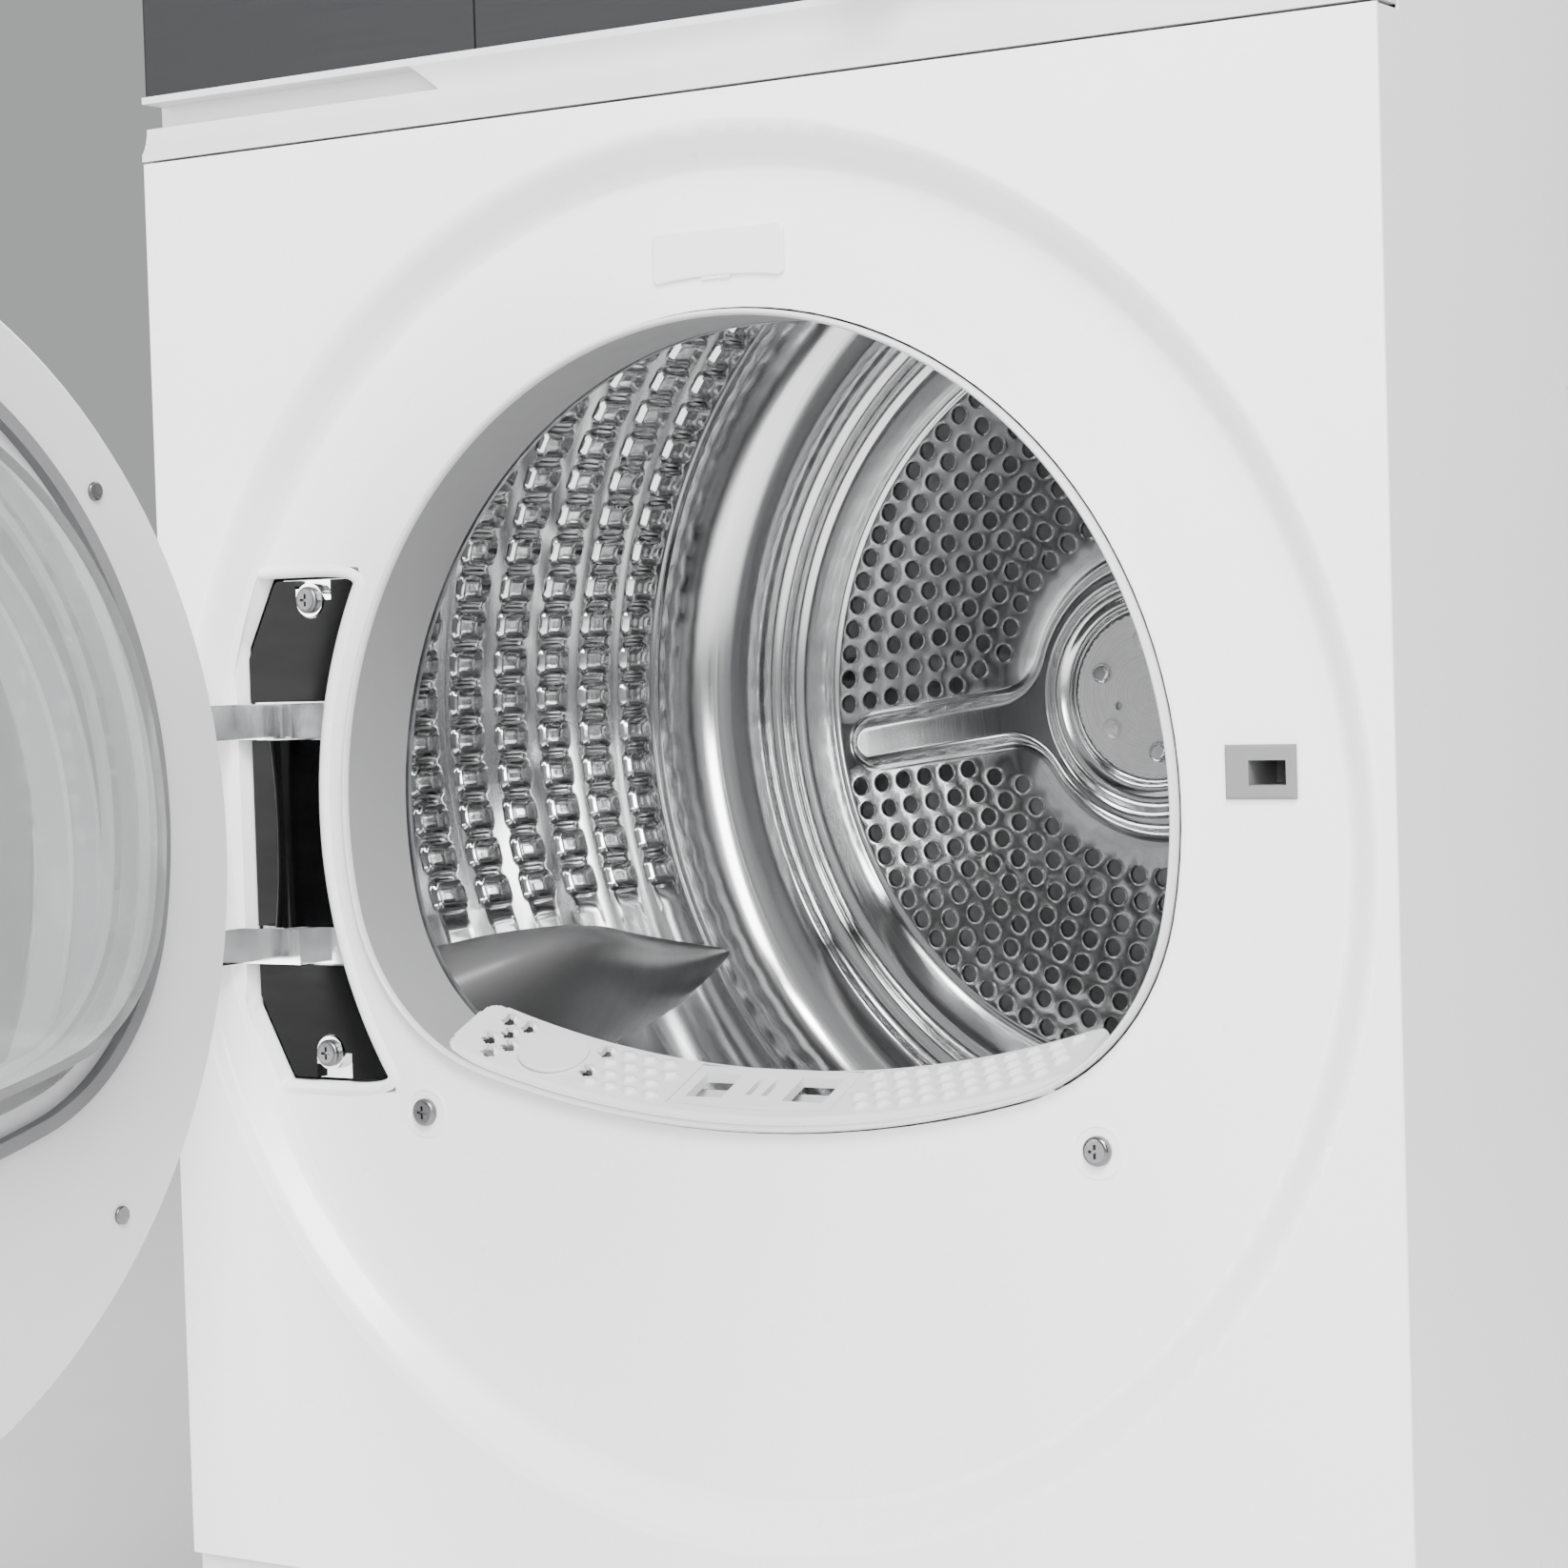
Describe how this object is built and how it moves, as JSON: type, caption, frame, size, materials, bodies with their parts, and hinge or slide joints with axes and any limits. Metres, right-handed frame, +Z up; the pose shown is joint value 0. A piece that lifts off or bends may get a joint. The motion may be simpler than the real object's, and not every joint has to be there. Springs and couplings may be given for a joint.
{
  "type": "clothes dryer",
  "caption": "Front-loading tumble dryer with its round door open, pressed dish in the front, embossed steel drum with lifters and a perforated rear wall.",
  "frame": {"origin": "on the floor, in the middle of the four feet", "axes": "+X to the right seen from the front, +Y into the machine, +Z up; the front faces -Y"},
  "size_m": [0.596, 1.104, 0.845],
  "materials": {
    "white_steel": "gloss white enamel",
    "white_plastic": "satin white",
    "worktop_board": "white laminate",
    "zinc_sheet": "bare zinc-coated sheet",
    "bezel_grey": "light grey fine grain",
    "grille_plastic": "pale grey satin",
    "filter_mesh": "fine woven mesh",
    "fascia_dark": "dark grey satin",
    "drum_steel": "polished stainless",
    "rear_steel": "brushed stainless",
    "paddle_plastic": "grey satin",
    "felt": "grey wool felt",
    "chrome": "bright",
    "black_plastic": "black gloss",
    "knob_chrome": "satin chrome",
    "key_plastic": "grey satin",
    "smoked_glass": "smoked",
    "clear_bowl": "clear",
    "door_inner": "pale grey",
    "seal_rubber": "grey rubber",
    "catch_steel": "bright",
    "base_plastic": "black textured",
    "duct_sheet": "zinc-coated",
    "motor_steel": "grey",
    "compressor_black": "black",
    "fins": "mill",
    "copper_pipe": "bare copper",
    "belt_rubber": "black",
    "roller_rubber": "dark",
    "tank_plastic": "milky",
    "foot_rubber": "black"
  },
  "bodies": {
    "cabinet": {"base_tray": "base_plastic", "left_side_panel": "white_steel", "right_side_panel": "white_steel", "worktop": "worktop_board", "rear_panel": "zinc_sheet", "front_panel": "white_steel", "control_strip": "white_plastic", "control_fascia": "fascia_dark", "plinth_panel": "white_plastic", "front_bulkhead": "zinc_sheet", "tunnel_bezel": "bezel_grey", "drum_felt_seals": "felt", "outlet_grille": "grille_plastic", "grille_cap": "grille_plastic", "blanking_cover": "white_plastic", "door_lock_housing": "bezel_grey", "hinge_bracket": "chrome", "hinge_covers": "black_plastic", "panel_screws": "chrome", "rear_bulkhead": "zinc_sheet", "rear_air_duct": "duct_sheet", "motor_housing": "motor_steel", "fan_housing": "base_plastic", "drive_belt": "belt_rubber", "compressor": "compressor_black", "evaporator": "fins", "condenser": "fins", "refrigerant_pipes": "copper_pipe", "tank_tray": "base_plastic", "feet": "foot_rubber", "cord_gland": "base_plastic", "drain_spigot": "base_plastic"},
    "door": {"door_ring": "white_plastic", "door_glass": "smoked_glass", "door_inner_frame": "door_inner", "door_bowl": "clear_bowl", "door_seal": "seal_rubber", "door_hook": "catch_steel", "door_knuckle": "black_plastic", "door_screws": "chrome"},
    "drum": {"drum_mantle": "drum_steel", "drum_rear_wall": "rear_steel", "hub_rivets": "rear_steel", "drum_shaft": "catch_steel", "drum_paddles": "paddle_plastic"},
    "motor": {"motor_rotor": "catch_steel", "fan_impeller": "base_plastic"},
    "tension_arm": {"tension_arm": "catch_steel"},
    "idler": {"idler_pulley": "roller_rubber"},
    "left_roller": {"left_roller": "roller_rubber"},
    "right_roller": {"right_roller": "roller_rubber"},
    "tank": {"water_tank": "tank_plastic", "tank_drawer_front": "fascia_dark"},
    "lint_filter": {"lint_filter_frame": "grille_plastic", "lint_filter_mesh": "filter_mesh"},
    "knob": {"program_knob": "knob_chrome"},
    "power_button": {"power_button": "key_plastic"},
    "start_button": {"start_button": "key_plastic"},
    "latch": {"latch_catch": "catch_steel"},
    "service_flap": {"service_flap": "white_plastic"}
  },
  "joints": [
    {"name": "door_hinge", "type": "hinge", "parent": "cabinet", "child": "door", "pos_m": [-0.264, -0.29, 0.4392], "axis": [0, 0, -1], "range_deg": [-90, 75]},
    {"name": "drum_spin", "type": "hinge", "parent": "cabinet", "child": "drum", "pos_m": [0, 0, 0.4856], "axis": [0, 1, 0], "continuous": true},
    {"name": "motor_spin", "type": "hinge", "parent": "cabinet", "child": "motor", "pos_m": [0.205, 0, 0.14], "axis": [0, 1, 0], "continuous": true},
    {"name": "tension_arm_pivot", "type": "hinge", "parent": "cabinet", "child": "tension_arm", "pos_m": [0.123, -0.072, 0.092], "axis": [0, 1, 0], "range_deg": [0, 12], "stiffness_Nm_per_rad": 4, "springref_deg": -17.19},
    {"name": "idler_spin", "type": "hinge", "parent": "tension_arm", "child": "idler", "pos_m": [0.105, -0.08, 0.166], "axis": [0, 1, 0], "continuous": true},
    {"name": "left_roller_spin", "type": "hinge", "parent": "cabinet", "child": "left_roller", "pos_m": [-0.18148, -0.194, 0.22642], "axis": [0, 1, 0], "continuous": true},
    {"name": "right_roller_spin", "type": "hinge", "parent": "cabinet", "child": "right_roller", "pos_m": [0.18148, -0.194, 0.22642], "axis": [0, 1, 0], "continuous": true},
    {"name": "tank_slide", "type": "slide", "parent": "cabinet", "child": "tank", "axis": [0, -1, 0], "range_m": [0, 0.4]},
    {"name": "filter_lift", "type": "slide", "parent": "cabinet", "child": "lint_filter", "axis": [0, 0, 1], "range_m": [0, 0.114]},
    {"name": "knob_turn", "type": "hinge", "parent": "cabinet", "child": "knob", "pos_m": [0.095, -0.27, 0.797], "axis": [0, -1, 0], "continuous": true},
    {"name": "power_press", "type": "slide", "parent": "cabinet", "child": "power_button", "axis": [0, 1, 0], "range_m": [0, 0.0015], "stiffness_N_per_m": 800, "springref_m": -0.0005},
    {"name": "start_press", "type": "slide", "parent": "cabinet", "child": "start_button", "axis": [0, 1, 0], "range_m": [0, 0.0015], "stiffness_N_per_m": 800, "springref_m": -0.0005},
    {"name": "latch_slide", "type": "slide", "parent": "cabinet", "child": "latch", "axis": [1, 0, 0], "range_m": [0, 0.0028], "stiffness_N_per_m": 300, "springref_m": -0.001},
    {"name": "flap_hinge", "type": "hinge", "parent": "cabinet", "child": "service_flap", "pos_m": [-0.17, -0.2587, 0.0375], "axis": [1, 0, 0], "range_deg": [0, 85]}
  ],
  "couplings": [
    {"joint": "motor_spin", "follows": "drum_spin", "ratio": 32.636},
    {"joint": "idler_spin", "follows": "drum_spin", "ratio": 13.547},
    {"joint": "left_roller_spin", "follows": "drum_spin", "ratio": -9.5333},
    {"joint": "right_roller_spin", "follows": "drum_spin", "ratio": -9.5333}
  ]
}
